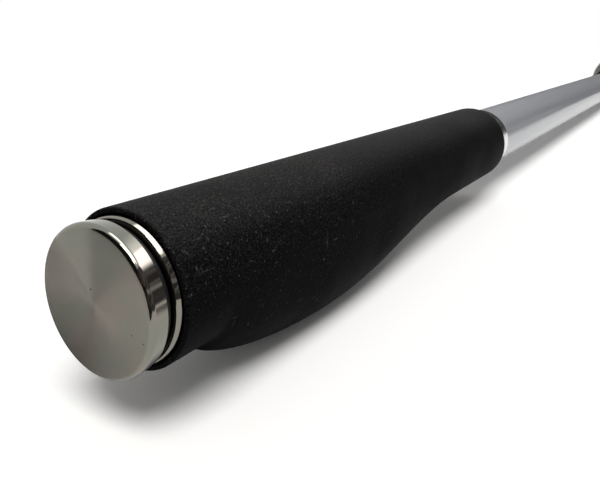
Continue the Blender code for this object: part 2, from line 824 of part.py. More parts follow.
METAL = make_material("gunmetal", (0.22, 0.215, 0.205), 0.22, 1.0)
RUBBER = make_material("black_rubber", (0.012, 0.012, 0.013), 0.75, 0.0)
FOAM = make_material("grey_foam", (0.12, 0.12, 0.12), 0.9, 0.0)
BLANK = make_material("grey_blank", (0.33, 0.34, 0.35), 0.3, 0.35)
PLASTIC = make_material("seat_plastic", (0.02, 0.02, 0.022), 0.45, 0.0)
CERAMIC = make_material("ring_ceramic", (0.06, 0.06, 0.065), 0.12, 0.0)
STEEL = make_material("guide_steel", (0.42, 0.42, 0.43), 0.2, 1.0)
HELPER = make_material("construction", (0.5, 0.5, 0.5), 0.5, 0.0)

butt_frame = make_frame("butt_frame", 0.0)
build_insert(butt_frame)
build_grip(butt_frame)
build_butt_section(butt_frame)
build_blank_rings(butt_frame)
build_seat_trims(butt_frame)
build_arbors(butt_frame)
build_seat_body(butt_frame)
build_hood("fixed_hood", butt_frame, SEAT_X + FIXED_HOOD_REAR, mouth_forward=False)

seal_frame = make_frame("seal_frame", 0.0)
build_seal(seal_frame)
cap_frame = make_frame("cap_frame", 0.0)
build_cap(cap_frame)
build_pad(cap_frame)

hood_frame = make_frame("hood_frame", SEAT_X + SLIDING_HOOD_REAR)
build_hood("sliding_hood", hood_frame, 0.0, mouth_forward=True)
nut_frame = make_frame("nut_frame", SEAT_X + NUT_REAR + NUT_LENGTH)
build_nut(nut_frame)

section_frames = {}
section_ends = {}
for name, rear_radius, front_radius, rear_wall, front_wall, end_x in SECTIONS:
    section_frames[name] = make_frame(name + "_frame", REST_X)
    section_ends[name] = (end_x - REST_X, front_radius)
    build_section(
        name,
        section_frames[name],
        rear_radius,
        front_radius,
        rear_wall,
        front_wall,
        end_x - REST_X,
    )
for name, section, sleeve_length, ring_radius, ring_bore, wire_radius in GUIDES:
    front, front_radius = section_ends[section]
    sleeve = (front - SLEEVE_END_GAP - sleeve_length, front - SLEEVE_END_GAP)
    bore = front_radius + GAP
    build_guide(name, section_frames[section], sleeve, bore, ring_radius, ring_bore, wire_radius)

tip_frame = make_frame("tip_frame", REST_X)
build_tip_section(tip_frame)
build_tip_top(tip_frame)

for i, bore in enumerate(FLOAT_BORE_RADII):
    float_frame = make_frame(f"floating_guide_{i + 1}_frame_origin", FLOAT_FIRST_X + i * FLOAT_STEP)
    build_guide(
        f"floating_guide_{i + 1}",
        float_frame,
        (0.0, FLOAT_SLEEVE_LENGTH),
        bore,
        SMALL_RING_RADIUS,
        SMALL_RING_BORE,
        SMALL_WIRE_RADIUS,
    )
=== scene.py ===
# %% [markdown]
# # A telescopic surf rod, closed for carrying
# The rod is a row of tapered tubes that slide into one another, with a rubber grip at the
# butt, a reel seat further along and line guides on the thin sections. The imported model
# fixes where each piece is. This lesson puts a finer piece in the place of each one, gives
# it the finish of the real material, and lights it on a white table.

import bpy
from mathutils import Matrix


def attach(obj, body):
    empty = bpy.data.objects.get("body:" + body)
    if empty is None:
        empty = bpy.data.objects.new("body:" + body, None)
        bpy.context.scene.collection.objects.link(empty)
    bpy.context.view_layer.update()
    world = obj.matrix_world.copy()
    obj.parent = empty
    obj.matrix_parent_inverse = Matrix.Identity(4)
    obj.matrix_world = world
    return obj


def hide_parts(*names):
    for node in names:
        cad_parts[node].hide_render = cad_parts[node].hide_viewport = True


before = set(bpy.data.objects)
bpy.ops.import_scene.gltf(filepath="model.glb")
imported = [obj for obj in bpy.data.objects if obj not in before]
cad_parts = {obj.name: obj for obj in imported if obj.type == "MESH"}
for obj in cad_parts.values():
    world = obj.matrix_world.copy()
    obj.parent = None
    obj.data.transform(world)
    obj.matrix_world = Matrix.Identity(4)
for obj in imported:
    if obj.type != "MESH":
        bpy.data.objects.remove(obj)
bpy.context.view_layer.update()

# %% Bring in the tools of the trade
import math

import bmesh
import bpy
from mathutils import Matrix, Vector

MM = 0.001
scene = bpy.context.scene
scene.view_settings.view_transform = "Standard"

# %% [markdown]
# ## The camera
# The picture is taken from very near the butt cap, a little above it and to its right, with
# a wide lens, so that the cap looks large and the far end runs away to a point. A camera can
# be turned by angles or by constraints. Here its three directions are worked out and put in
# its matrix as columns, because that states the view with nothing left to settle.

# %% Place the camera
camera_place = Vector((-63.78, -85.62, 45.15)) * MM
yaw, pitch, roll = 0.9761, 0.2168, -0.0069
reach = math.cos(pitch)
forward = Vector((math.sin(yaw) * reach, math.cos(yaw) * reach, -math.sin(pitch)))
level = forward.cross(Vector((0.0, 0.0, 1.0))).normalized()
upright = level.cross(forward)
right = math.cos(roll) * level + math.sin(roll) * upright
top = math.cos(roll) * upright - math.sin(roll) * level

lens = bpy.data.cameras.new("close_lens")
lens.lens = 36.38
lens.shift_x = 0.0172
lens.shift_y = -0.10485
lens.clip_start = 0.005
lens.clip_end = 20.0
camera = bpy.data.objects.new("close_camera", lens)
scene.collection.objects.link(camera)
turn = Matrix((right, top, -forward)).transposed()
camera.matrix_world = Matrix.Translation(camera_place) @ turn.to_4x4()
scene.camera = camera
print("camera", round(camera_place.length / MM), "mm from the cap's face")

# %% [markdown]
# ## Writing node trees
# A material is a net of nodes. Laid out by hand it is a page of boxes and wires, and the
# same thing in plain script is pages of sockets. Two small classes make it read as sums:
# a Signal is an output socket that Python's own operators work on, and a Recipe adds any
# other node in one call.

# %% A socket that can be reckoned with
class Signal:
    """An output socket. An operator on it adds a Math node and gives that node's output."""

    def __init__(self, recipe, socket):
        self.recipe = recipe
        self.socket = socket

    def maths(self, operation, *values):
        settings = {"operation": operation}
        return self.recipe.node("ShaderNodeMath", settings, dict(enumerate(values)))

    def other(self, name):
        """Another output of the same node."""
        return Signal(self.recipe, self.socket.node.outputs[name])

    def __add__(self, value):
        return self.maths("ADD", self, value)

    def __radd__(self, value):
        return self.maths("ADD", value, self)

    def __sub__(self, value):
        return self.maths("SUBTRACT", self, value)

    def __rsub__(self, value):
        return self.maths("SUBTRACT", value, self)

    def __mul__(self, value):
        return self.maths("MULTIPLY", self, value)

    def __rmul__(self, value):
        return self.maths("MULTIPLY", value, self)

    def __gt__(self, value):
        return self.maths("GREATER_THAN", self, value)


print("sums on sockets are ready")


# %% A tree that is written one node at a time
class Recipe:
    """A node tree. Its node method takes a node's kind, its settings and its inputs' values."""

    def __init__(self, tree):
        self.tree = tree

    def node(self, kind, settings=None, inputs=None, output=0):
        made = self.tree.nodes.new(kind)
        for name, value in (settings or {}).items():
            setattr(made, name, value)
        for name, value in (inputs or {}).items():
            self.feed(made.inputs[name], value)
        return Signal(self, made.outputs[output])

    def vector_maths(self, operation, *values, output=0):
        settings = {"operation": operation}
        return self.node("ShaderNodeVectorMath", settings, dict(enumerate(values)), output)

    def feed(self, socket, value):
        if isinstance(value, Signal):
            self.tree.links.new(value.socket, socket)
        elif socket.type == "RGBA":
            socket.default_value = (*value, 1.0)
        else:
            socket.default_value = value

    def fade(self, value, start, end):
        """0 where value is at start, 1 where it is at end, and smooth between."""
        settings = {"interpolation_type": "SMOOTHSTEP"}
        return self.node("ShaderNodeMapRange", settings, {0: value, 1: start, 2: end})

    def blend(self, share, first, second):
        """One colour where share is 0, the other where it is 1."""
        settings = {"data_type": "RGBA"}
        return self.node("ShaderNodeMix", settings, {0: share, 6: first, 7: second}, output=2)

    def on_show(self):
        """1 to the camera, mirrors and glass, and 0 to the light that falls on things."""
        ray = self.node("ShaderNodeLightPath", output="Is Camera Ray")
        return ray + ray.other("Is Glossy Ray") + ray.other("Is Transmission Ray") > 0.5


print("recipes are ready")


# %% [markdown]
# A finish is a recipe for one material. It starts from the Principled shader, whose
# unchanging numbers are set on its own sockets. Patterns are laid by the place of a point on
# the rod, read from the Object coordinates, so that they need no unwrapping and stay put
# when a piece slides. Sizes in a pattern are given in millimetres, as on a drawing.

# %% A material with the tools to pattern it
class Finish(Recipe):
    """A material, with the record's slot that it stands for."""

    def __init__(self, name, slot, colour, roughness, metallic=0.0, **constants):
        self.material = bpy.data.materials.new(name)
        self.material.use_nodes = True
        self.material.diffuse_color = (*colour, 1.0)
        self.slot = slot
        super().__init__(self.material.node_tree)
        self.shader = self.tree.nodes["Principled BSDF"]
        self.set("Base Color", colour)
        self.set("Roughness", roughness)
        self.set("Metallic", metallic)
        for socket, value in constants.items():
            self.set(socket.replace("_", " "), value)
        self.point = self.node("ShaderNodeTexCoord", output="Object")

    def set(self, socket, value):
        self.feed(self.shader.inputs[socket], value)

    def colour(self, share, first, second):
        """The base colour goes from the first to the second as share goes from 0 to 1."""
        self.set("Base Color", self.blend(share, first, second))

    def along(self, axis):
        """How far a point is along an axis, in millimetres."""
        return self.node("ShaderNodeSeparateXYZ", inputs={0: self.point}, output=axis) * (1 / MM)

    def upward(self):
        """How far the surface faces up, from -1 to 1."""
        normal = self.node("ShaderNodeNewGeometry", output="Normal")
        return self.node("ShaderNodeSeparateXYZ", inputs={0: normal}, output="Z")

    def off_axis(self):
        """The vector to a point from the nearest place on the rod's axis."""
        return self.vector_maths("MULTIPLY", self.point, (0.0, 1.0, 1.0))

    def radius(self):
        """How far a point is from the rod's axis, in millimetres."""
        return self.vector_maths("LENGTH", self.off_axis(), output="Value") * (1 / MM)

    def distance(self, place):
        """How far a point is from a place, in millimetres."""
        gap = self.vector_maths("DISTANCE", self.point, Vector(place) * MM, output="Value")
        return gap * (1 / MM)

    def stretched(self, scale, turn):
        """The coordinates, turned and squeezed so that a pattern on them is drawn out."""
        inputs = {"Vector": self.point, "Rotation": turn, "Scale": scale}
        return self.node("ShaderNodeMapping", inputs=inputs)

    def clouds(self, size, detail=2.0, at=None):
        """Soft random patches about size millimetres across, from 0 to 1."""
        inputs = {"Vector": at or self.point, "Scale": 1 / (size * MM), "Detail": detail}
        return self.node("ShaderNodeTexNoise", inputs=inputs)

    def lines(self, value, size, detail=2.0):
        """Random lines across a measure in millimetres, each about size wide."""
        inputs = {"W": value, "Scale": 1 / size, "Detail": detail}
        return self.node("ShaderNodeTexNoise", {"noise_dimensions": "1D"}, inputs)

    def cells(self, size):
        """Distance from the nearest of many scattered points, in shares of size."""
        inputs = {"Vector": self.point, "Scale": 1 / (size * MM)}
        return self.node("ShaderNodeTexVoronoi", inputs=inputs)

    def specks(self, size, dot, share):
        """1 on scattered dots. A share of the cells, each about size wide, has one."""
        near = self.cells(size)
        chance = self.node("ShaderNodeSeparateColor", inputs={0: near.other("Color")})
        return (1.0 - self.fade(near, 0.6 * dot / size, dot / size)) * (chance > 1.0 - share)

    def lean(self, share):
        """Makes the normal lean away from the rod's axis by a share that may vary."""
        outward = self.vector_maths("NORMALIZE", self.off_axis())
        settings = {"operation": "SCALE"}
        outward = self.node("ShaderNodeVectorMath", settings, {0: outward, "Scale": share})
        settings = {"vector_type": "VECTOR", "convert_from": "OBJECT", "convert_to": "WORLD"}
        outward = self.node("ShaderNodeVectorTransform", settings, {0: outward})
        normal = self.node("ShaderNodeNewGeometry", output="Normal")
        leaning = self.vector_maths("ADD", normal, outward)
        self.set("Normal", self.vector_maths("NORMALIZE", leaning))

    def bump(self, height, depth):
        """Makes the normal follow height, which is worth depth millimetres at 1."""
        inputs = {"Height": height, "Distance": depth * MM}
        self.set("Normal", self.node("ShaderNodeBump", inputs=inputs))


print("finishes are ready")

# %% [markdown]
# ## Light and table
# The rod lies on a white sheet under one large soft lamp above and behind the camera, in a
# white room. The sky's strength for diffuse light is kept moderate, so that a colour comes
# out about as it is written. The camera, and metal and glass that mirror the room, see plain
# white, which Light Path tells apart from the light that falls on the rod.

# %% Light the room
KEY_FROM = Vector((-0.40, -0.30, 0.90))
key_light = bpy.data.lights.new("key_lamp", "SUN")
key_light.energy = 2.3
key_light.angle = math.radians(30)
key_lamp = bpy.data.objects.new("key_lamp", key_light)
key_lamp.rotation_mode = "QUATERNION"
key_lamp.rotation_quaternion = KEY_FROM.to_track_quat("Z", "Y")
scene.collection.objects.link(key_lamp)

scene.world = bpy.data.worlds.new("white_room")
scene.world.use_nodes = True
room = Recipe(scene.world.node_tree)
sky = room.tree.nodes["Background"]
SKY_FILL = 0.33
WHITE = (1.0, 1.0, 1.0)
room.feed(sky.inputs["Color"], WHITE)
room.feed(sky.inputs["Strength"], SKY_FILL + room.on_show() * (1.0 - SKY_FILL))
print("key from", tuple(KEY_FROM), "fill", SKY_FILL)

# %% [markdown]
# A polished ring is a mirror, so most of what it shows is the room. The real one shows a
# bright window, high up over the camera's side of the rod, and a dark room beside and behind
# the camera, with a dark strip of table in front of it. Cards do that in a studio. Each is a
# flat sheet that only mirror-like surfaces see, so it changes no shadow and no diffuse light.
# A tone rule says how a card's light varies along it, as a share of its strength, and a cover
# rule says where it is solid, so that its edges can melt into what is behind it. Both are
# told where a point is on the card, in millimetres from its middle.


# %% Hang a sheet in the studio
def studio_sheet(name, bm, surface):
    """A sheet that isn't part of the rod. The rule gets its recipe and gives its shader."""
    mesh = bpy.data.meshes.new(name)
    bm.to_mesh(mesh)
    bm.free()
    paint = bpy.data.materials.new(name)
    paint.use_nodes = True
    recipe = Recipe(paint.node_tree)
    recipe.tree.nodes.remove(recipe.tree.nodes["Principled BSDF"])
    recipe.feed(recipe.tree.nodes["Material Output"].inputs["Surface"], surface(recipe))
    mesh.materials.append(paint)
    sheet = bpy.data.objects.new(name, mesh)
    scene.collection.objects.link(sheet)
    return sheet


def even(recipe, x, y):
    return 1.0


def card(name, centre, facing, width, height, strength, tone=even, cover=even, colour=WHITE):
    """A glowing sheet seen only in reflections, with its centre and its sides in mm."""

    def glow(recipe):
        point = recipe.node("ShaderNodeTexCoord", output="Object")
        place = recipe.node("ShaderNodeSeparateXYZ", inputs={0: point})
        x, y = place.other("X") * (1 / MM), place.other("Y") * (1 / MM)
        shade = recipe.blend(tone(recipe, x, y), (0.0, 0.0, 0.0), colour)
        light = recipe.node("ShaderNodeEmission", inputs={"Color": shade, "Strength": strength})
        clear = recipe.node("ShaderNodeBsdfTransparent")
        shaders = {0: cover(recipe, x, y), 1: clear, 2: light}
        return recipe.node("ShaderNodeMixShader", inputs=shaders)

    bm = bmesh.new()
    bmesh.ops.create_grid(bm, x_segments=1, y_segments=1, size=0.5)
    bmesh.ops.scale(bm, verts=bm.verts, vec=(width * MM, height * MM, 1.0))
    sheet = studio_sheet(name, bm, glow)
    turned = Vector(facing).to_track_quat("Z", "Y").to_matrix()
    sheet.matrix_world = Matrix.Translation(Vector(centre) * MM) @ turned.to_4x4()
    for ray in ("camera", "diffuse", "transmission", "shadow"):
        setattr(sheet, "visible_" + ray, False)


print("sheets and cards can be hung")


# %% Say how the cards glow and where they are solid
def window_tone(recipe, x, y):
    """A dim upper pane, a bright lower one with a hard top edge, and a soft sill."""
    pane_edge, sill = -70.0, -260.0
    dim = 0.165 + recipe.fade(y, 130.0, pane_edge) * 0.27
    bright = recipe.fade(y, pane_edge, pane_edge - 35.0) * 0.45
    return (dim + bright) * (1.0 - recipe.fade(y, sill, sill - 140.0) * 0.97)


def room_tone(recipe, x, y):
    """The dark room, with a pale shelf along it and a few paler upright things."""
    shelf = recipe.fade(y, -215.0, -185.0) * (1.0 - recipe.fade(y, -150.0, -110.0))
    inputs = {"W": x * 0.3 + y, "Scale": 0.014}
    things = recipe.node("ShaderNodeTexNoise", {"noise_dimensions": "1D"}, inputs)
    return 0.08 + shelf * 0.4 + recipe.fade(things, 0.45, 0.65) * 0.3


def soft_cover(recipe, x, y):
    """Solid in the middle, and clear towards all four edges."""
    across = recipe.fade(x, -300.0, -180.0) * recipe.fade(x, 300.0, 180.0)
    return across * recipe.fade(y, -600.0, -480.0) * recipe.fade(y, 600.0, 480.0)


def cap_cover(recipe, x, y):
    """A shadow that is deepest under the cap and melts away in front of it."""
    return recipe.fade(x, 42.0, 14.0) * recipe.fade(y, 62.0, 24.0) * recipe.fade(y, -65.0, -30.0)


def grip_cover(recipe, x, y):
    """A shadow along the grip that starts a little way in front of the cap."""
    return recipe.fade(x, 110.0, 70.0) * recipe.fade(y, -24.0, -4.0)


def far_cover(recipe, x, y):
    """The far side's shadow, clear towards both ends and its outer edge."""
    return recipe.fade(x, 95.0, 60.0) * recipe.fade(x, -90.0, -60.0) * recipe.fade(y, 300.0, 255.0)


print("the cards' rules are written")

# %% Put up the cards
BROWN = (1.0, 0.6, 0.5)
card("window_card", (637, -368, 817), (-0.58, 0.33, -0.74), 1700, 860, 6.0, window_tone)
card("ceiling_card", (110, -220, 1000), (0, 0, -1), 600, 1200, 5.8, even, soft_cover)
card("side_wall_card", (1400, -620, 330), (0, 1, 0), 4200, 720, 0.8, room_tone)
card("back_wall_card", (-700, 90, 700), (1, 0, 0), 1430, 1450, 0.02)
card("brown_wall_card", (-500, -325, 134), (0.84, 0.54, 0), 440, 312, 0.45, room_tone, even, BROWN)
card("far_wall_card", (3500, 200, 740), (-1, 0, 0), 1700, 1520, 0.05)
card("dark_table_card", (900, -495, -18), (0, 0, 1), 3200, 750, 0.09)
card("near_table_card", (-368, -335, -22), (0, 0, 1), 635, 630, 0.04)
# The last three cards are painted shadow: dark sheets laid where the rod's shadow falls on the
# table, seen only in reflections.
card("grip_shade_card", (145, -70, -21), (0, 0, 1), 230, 48, 0.34, even, grip_cover)
card("cap_shade_card", (10, 50, -24), (0, 0, 1), 140, 130, 0.06, even, cap_cover)
card("far_shade_card", (20, 345, -20), (0, 0, 1), 260, 600, 0.5, even, far_cover)

# %% [markdown]
# The table is one white sheet. The rod rests on the swell of its grip and on the fluted nut
# of its reel seat, which stand out by different amounts, so the sheet leans by half a degree
# to meet both. The camera and the mirrors see it a little brighter than the light does, which
# turns the open sheet white and leaves the rod's own shadow on it.

# %% Lay the table
SWELL_REST = Vector((69.0, 0.0, -26.303))
NUT_REST = Vector((709.0, 0.0, -20.09))
SHEET_START = -1200.0
SHEET_END = 1250.0
SHEET_HALF_WIDTH = 1500.0
lean = (NUT_REST.z - SWELL_REST.z) / (NUT_REST.x - SWELL_REST.x)
bm = bmesh.new()
bmesh.ops.create_grid(bm, x_segments=1, y_segments=1, size=1.0)
for vert in bm.verts:
    x = SHEET_END if vert.co.x > 0.0 else SHEET_START
    height = SWELL_REST.z + (x - SWELL_REST.x) * lean
    vert.co = Vector((x, math.copysign(SHEET_HALF_WIDTH, vert.co.y), height)) * MM


def matt_paper(recipe):
    tone = recipe.blend(recipe.on_show(), (0.80, 0.80, 0.79), (1.14, 1.13, 1.11))
    return recipe.node("ShaderNodeBsdfDiffuse", inputs={"Color": tone})


studio_sheet("white_sheet", bm, matt_paper)
print("the table leans by", round(math.degrees(math.atan(lean)), 2), "degrees")

# %% [markdown]
# ## Turned shapes
# Most of a rod is made on a lathe or drawn over a mandrel, so most of its pieces are an
# outline spun about an axis. The outline is a ring of corners in millimetres: how far along
# the rod, how far from the axis and, if the corner is broken, how far its rounding reaches.
# Rounding the few corners of the wire before the spin costs less than bevelling the edges
# of the finished solid, and it comes out the same.


# %% Draw an outline and spin it
def rounded(bm, geom, reach, segments, affect):
    """Rounds the corners or the edges of a shape by a reach in millimetres."""
    bmesh.ops.bevel(
        bm,
        geom=geom,
        offset=reach * MM,
        offset_type="OFFSET",
        segments=segments,
        profile=0.5,
        affect=affect,
        clamp_overlap=affect == "EDGES",
        material=-1,
    )


def drawn(outline, height=0.0):
    """A wire round an outline of (x, radius) or (x, radius, rounding) corners."""
    bm = bmesh.new()
    corners = [bm.verts.new((x * MM, 0.0, (height + radius) * MM)) for x, radius, *_ in outline]
    for first, second in zip(corners, corners[1:] + corners[:1]):
        if max(first.co.z, second.co.z) > height * MM:
            bm.edges.new((first, second))
    for corner, (_, _, *rounding) in zip(corners, outline):
        if rounding:
            rounded(bm, [corner], rounding[0], 5, "VERTICES")
    return bm


def spun(bm, steps=192, height=0.0):
    """Spins a wire in the XZ plane about a line along X at a height, into a closed solid."""
    bmesh.ops.spin(
        bm,
        geom=bm.verts[:] + bm.edges[:],
        cent=(0.0, 0.0, height * MM),
        axis=(1.0, 0.0, 0.0),
        angle=math.tau,
        steps=steps,
        use_merge=True,
    )
    return bm


def lathe(outline, steps=192, height=0.0):
    return spun(drawn(outline, height), steps, height)


test = lathe([(0.0, 0.0), (0.0, 5.0, 1.0), (8.0, 5.0, 1.0), (8.0, 0.0)], 32)
print("a spun test pin has", len(test.faces), "faces")
test.free()


# %% [markdown]
# A real piece is seldom only round. The grip swells under the palm, a hood arches over the
# reel's foot, a nut has flutes. Each starts on the lathe, and then its skin is pushed out or
# in by a rule, as a hand would file or mould it.


# %% Push a turned skin in or out
def shaped(bm, rule):
    """Moves each vertex to the radius that rule(x, angle from +Z, radius) gives, in mm."""
    for vert in bm.verts:
        x, y, z = vert.co / MM
        radius = math.hypot(y, z)
        if radius > 0.0:
            share = rule(x, math.atan2(y, z), radius) / radius
            vert.co.y *= share
            vert.co.z *= share
    return bm


def block(low, high, rounding):
    """A box between two corners, with its edges rounded."""
    low = Vector(low) * MM
    high = Vector(high) * MM
    bm = bmesh.new()
    bmesh.ops.create_cube(bm, size=1.0)
    bmesh.ops.scale(bm, verts=bm.verts, vec=high - low)
    bmesh.ops.translate(bm, verts=bm.verts, vec=(low + high) / 2)
    soften(bm, rounding)
    return bm


def soften(bm, rounding, sharper_than=40.0):
    """Rounds the edges that are sharper than an angle in degrees."""
    limit = math.radians(sharper_than)
    sharp = [edge for edge in bm.edges if edge.is_manifold and edge.calc_face_angle() > limit]
    rounded(bm, sharp, rounding, 3, "EDGES")


print("shaping tools are ready")


# %% [markdown]
# A screw thread is a small tooth that climbs as it goes round. Spin has that built in: with
# a step along the axis each time it turns, one tooth's face becomes the whole helix.


# %% Cut threads and bend wire
def screw_thread(start, end, root, crest, pitch, sides=64):
    """A helical ridge between two places, from a root radius to a crest radius."""
    bm = bmesh.new()
    profile = ((0.08, root), (0.38, crest), (0.5, crest), (0.8, root))
    tooth = [((start + share * pitch) * MM, 0.0, radius * MM) for share, radius in profile]
    face = bm.faces.new([bm.verts.new(corner) for corner in tooth])
    turns = (end - start - pitch) / pitch
    bmesh.ops.spin(
        bm,
        geom=[face] + face.edges[:] + face.verts[:],
        axis=(1.0, 0.0, 0.0),
        dvec=(pitch * MM / sides, 0.0, 0.0),
        angle=math.tau * turns,
        steps=round(sides * turns),
        use_merge=False,
        use_duplicate=False,
    )
    return bm


def bent_rod(start, bend, end, radius):
    """A round wire from start to end that leans towards bend, in millimetres."""
    curve = bpy.data.curves.new("wire", "CURVE")
    curve.dimensions = "3D"
    curve.bevel_depth = radius * MM
    curve.bevel_resolution = 4
    curve.resolution_u = 24
    curve.use_fill_caps = True
    spline = curve.splines.new("BEZIER")
    spline.bezier_points.add(1)
    start, bend, end = (Vector(place) * MM for place in (start, bend, end))
    for knot, place in zip(spline.bezier_points, (start, end)):
        knot.co = place
        knot.handle_left = knot.handle_right = place + (bend - place) * 2 / 3
    holder = bpy.data.objects.new("wire", curve)
    mesh = bpy.data.meshes.new_from_object(holder)
    bm = bmesh.new()
    bm.from_mesh(mesh)
    bpy.data.objects.remove(holder)
    bpy.data.curves.remove(curve)
    bpy.data.meshes.remove(mesh)
    return bm


test = screw_thread(0.0, 6.0, 4.0, 5.0, 2.0)
print("two turns of test thread have", len(test.faces), "faces")
test.free()


# %% [markdown]
# Every piece ends the same way: doubled vertices are merged, which closes seams and poles,
# the faces are turned outwards, and the piece is tied to the body it moves with. Weighted
# normals keep flat faces flat beside a small rounding, without extra loops of edges.


# %% Hand a piece over
WELD = 1e-4


def merged(*shapes):
    """Several shapes as one."""
    whole = bmesh.new()
    for shape in shapes:
        part = bpy.data.meshes.new("part")
        shape.to_mesh(part)
        shape.free()
        whole.from_mesh(part)
        bpy.data.meshes.remove(part)
    return whole


def finish_piece(name, bm, finish, body, *nodes):
    """Turns a shape into a named piece that stands for CAD nodes and rides on a body."""
    bmesh.ops.remove_doubles(bm, verts=bm.verts, dist=WELD * MM)
    bmesh.ops.recalc_face_normals(bm, faces=bm.faces)
    mesh = bpy.data.meshes.new(name)
    bm.to_mesh(mesh)
    bm.free()
    mesh.shade_smooth()
    mesh.set_sharp_from_angle(angle=math.radians(38))
    mesh.materials.append(finish.material)
    piece = bpy.data.objects.new(name, mesh)
    scene.collection.objects.link(piece)
    weighted = piece.modifiers.new("flat faces stay flat", "WEIGHTED_NORMAL")
    weighted.keep_sharp = True
    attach(piece, body)
    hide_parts(*nodes)
    print(name, "has", len(mesh.polygons), "faces")
    return piece


print("ready to make pieces")

# %% [markdown]
# ## The butt cap
# The cap is one turned piece of metal with a dark, warm nickel colour. Its face was spun
# with a fine feed, which leaves rings too close to see one by one. They spread each
# reflection across the rings, and that makes the soft fan of light on the face. Polishing
# took a little more off towards the edge, so the face leans outwards there. A normal that
# depends only on the distance from the centre gives both. The rim and its rounded corner
# were polished after that, and get a low roughness.

# %% Spun and polished metal
GUNMETAL = (0.222, 0.210, 0.182)
FEED, RING_LEAN = 0.02, 0.7
DOMING = 0.007
STAINS = (
    ((0.0, 0.44, 2.68), 0.12, 0.3),
    ((0.0, -9.62, -3.39), 0.1, 0.24),
    ((0.0, -12.49, -4.24), 0.08, 0.22),
)

spun_metal = Finish("spun_gunmetal", "gunmetal", GUNMETAL, 0.2, 1.0)
off_face = spun_metal.fade(spun_metal.along("X"), 0.01, 0.12)
on_face = 1.0 - off_face
warm = spun_metal.fade(spun_metal.clouds(9.0, 1.0), 0.42, 0.6)
warm_tint = spun_metal.blend(warm, (0.208, 0.210, 0.178), (0.232, 0.209, 0.184))
# Painted shade: the spun face's colour is a little darker than the rim's, for the shade in its
# fine rings.
spun_tint_with_groove_shade = spun_metal.blend(warm, (0.199, 0.196, 0.166), (0.219, 0.197, 0.169))
tint = spun_metal.blend(on_face, warm_tint, spun_tint_with_groove_shade)
streaks = spun_metal.lines(spun_metal.radius(), 0.3) * 0.6 + spun_metal.clouds(0.3) * 0.4
streaks = spun_metal.fade(streaks, 0.35, 0.65) * on_face
tint = spun_metal.blend(streaks * 0.14, tint, (0.08, 0.078, 0.07))
dirt = on_face * spun_metal.specks(2.6, 0.09, 0.12)
for place, core, edge in STAINS:
    dirt = dirt + on_face * (1.0 - spun_metal.fade(spun_metal.distance(place), core, edge))
spun_metal.colour(dirt * 0.6, tint, (0.05, 0.048, 0.045))
count = {"W": spun_metal.radius() * (1 / FEED)}
rings = spun_metal.node("ShaderNodeTexWhiteNoise", {"noise_dimensions": "1D"}, count) - 0.5
smudge = spun_metal.fade(spun_metal.clouds(5.0, 3.0), 0.35, 0.75)
spun_metal.set("Roughness", on_face * 0.12 + 0.06 + smudge * 0.05 + dirt * 0.3)
outward = rings * RING_LEAN + spun_metal.radius() * DOMING
spun_metal.lean(outward * on_face)
print(spun_metal.material.name, "has", len(spun_metal.tree.nodes), "nodes")

# %% [markdown]
# The same outline that a turner would follow gives the cap: flat face, rounded corner, a rim
# that narrows slightly, a neck for the seal, and a hollow plug with a thread of 1.5 mm pitch.

# %% Turn the cap
cap_outline = [
    (0.0, 0.0),
    (0.0, 15.0, 1.25),
    (4.2, 14.6, 0.25),
    (4.2, 11.6, 0.2),
    (6.1, 11.6, 0.2),
    (6.1, 10.3),
    (29.7, 10.3, 0.9),
    (29.7, 8.5, 0.2),
    (8.0, 8.5, 0.6),
    (8.0, 0.0),
]
cap_shape = merged(lathe(cap_outline, 256), screw_thread(8.2, 29.0, 10.2, 10.85, 1.5, 96))
finish_piece("turned_cap", cap_shape, spun_metal, "cap", "butt_cap")

# %% [markdown]
# ## Seal and pad
# The seal is a plain rubber ring in the neck. The pad inside the plug is cut from dense
# closed-cell foam, and it keeps the nested tubes from knocking on the metal. A foam disc
# bulges a little at its edges, which a large rounding gives, and its skin is a field of
# small burst cells.

# %% Rubber and foam finishes
BLACK = (0.008, 0.008, 0.0085)
seal_rubber = Finish("seal_rubber", "black_rubber", BLACK, 0.42, Specular_IOR_Level=0.2)
seal_rubber.set("Roughness", 0.34 + seal_rubber.clouds(1.6, 3.0) * 0.2)
seal_rubber.bump(seal_rubber.clouds(0.25), 0.01)

foam = Finish("closed_cell_foam", "grey_foam", (0.12, 0.12, 0.12), 0.92)
burst = foam.cells(0.55)
# Painted shade: the colour is darker in the hollows of the burst cells, where the bump sinks.
foam.colour(foam.fade(burst, 0.1, 0.6), (0.075, 0.075, 0.078), (0.14, 0.14, 0.142))
foam.bump(burst * (0.6 + foam.clouds(3.0)), 0.12)
print("rubber and foam are mixed")


# %% Make the seal and the pad
def oval(x, radius, half_x, half_radius, segments=32, height=0.0):
    """A wire oval in the XZ plane, to be spun into a ring."""
    bm = bmesh.new()
    bmesh.ops.create_circle(bm, segments=segments, radius=1.0)
    bmesh.ops.scale(bm, verts=bm.verts, vec=(half_x * MM, half_radius * MM, 1.0))
    bmesh.ops.rotate(bm, verts=bm.verts, matrix=Matrix.Rotation(math.radians(90), 3, "X"))
    bmesh.ops.translate(bm, verts=bm.verts, vec=(x * MM, 0.0, (height + radius) * MM))
    return bm


finish_piece("seal_ring", spun(oval(5.25, 12.8, 0.8, 0.85)), seal_rubber, "cap_seal", "cap_o_ring")
pad_outline = [
    (20.0, 0.0),
    (20.0, 8.2, 0.7),
    (30.0, 8.2, 0.3),
    (30.0, 10.6, 0.8),
    (33.7, 10.6, 1.4),
    (33.7, 6.0, 2.0),
    (33.45, 0.0),
]
pad = finish_piece("foam_pad", lathe(pad_outline, 128), foam, "cap", "rattle_pad")

# %% [markdown]
# ## The threaded insert
# A polished ring shows between the seal and the grip. It is the flange of a sleeve that is
# glued into the blank, and its thread takes the cap. Nothing on it is flat, so a low
# roughness with a little handling grime is the whole of its finish. The same recipe, with
# other numbers, serves the other metal rings, the hoods and the nut.


